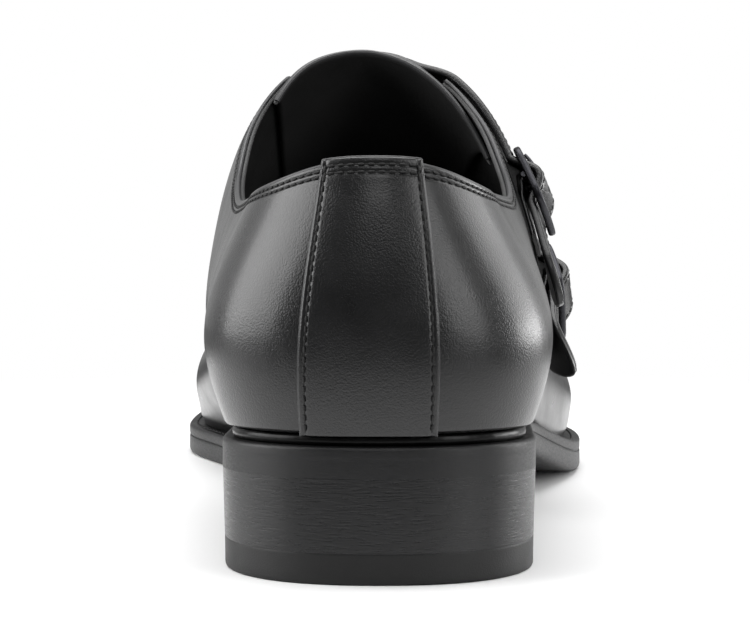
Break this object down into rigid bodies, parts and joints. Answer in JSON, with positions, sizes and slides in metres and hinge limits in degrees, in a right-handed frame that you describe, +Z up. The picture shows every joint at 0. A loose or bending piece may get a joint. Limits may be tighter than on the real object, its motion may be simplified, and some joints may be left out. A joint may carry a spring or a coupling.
{
  "type": "double monk strap shoe",
  "caption": "Low black leather dress shoe for the right foot, with plain toe, straps buckled over the instep, heel strip, welted sole and stacked heel.",
  "frame": {"origin": "on the floor under the middle of the shoe's bounding box", "axes": "+X to the outer (lateral) side of this right shoe, +Y from heel to toe, +Z up"},
  "size_m": [0.1104, 0.3052, 0.1122],
  "materials": {
    "upper_leather": "polished black calf",
    "strap_leather": "polished black calf",
    "lining_leather": "matt black lining leather",
    "sole_leather": "dyed and waxed black edges",
    "lift_rubber": "matt black",
    "buckle_metal": "dark gunmetal"
  },
  "bodies": {
    "root": {"upper": "upper_leather", "heel_strip": "upper_leather", "tongue": "upper_leather", "strap_upper": "strap_leather", "strap_lower": "strap_leather", "tab_upper": "strap_leather", "tab_lower": "strap_leather", "buckle_upper": "buckle_metal", "buckle_lower": "buckle_metal", "prong_upper": "buckle_metal", "prong_lower": "buckle_metal", "insole": "lining_leather", "welt": "sole_leather", "outsole": "sole_leather", "heel_stack": "sole_leather", "top_lift": "lift_rubber"}
  },
  "joints": []
}
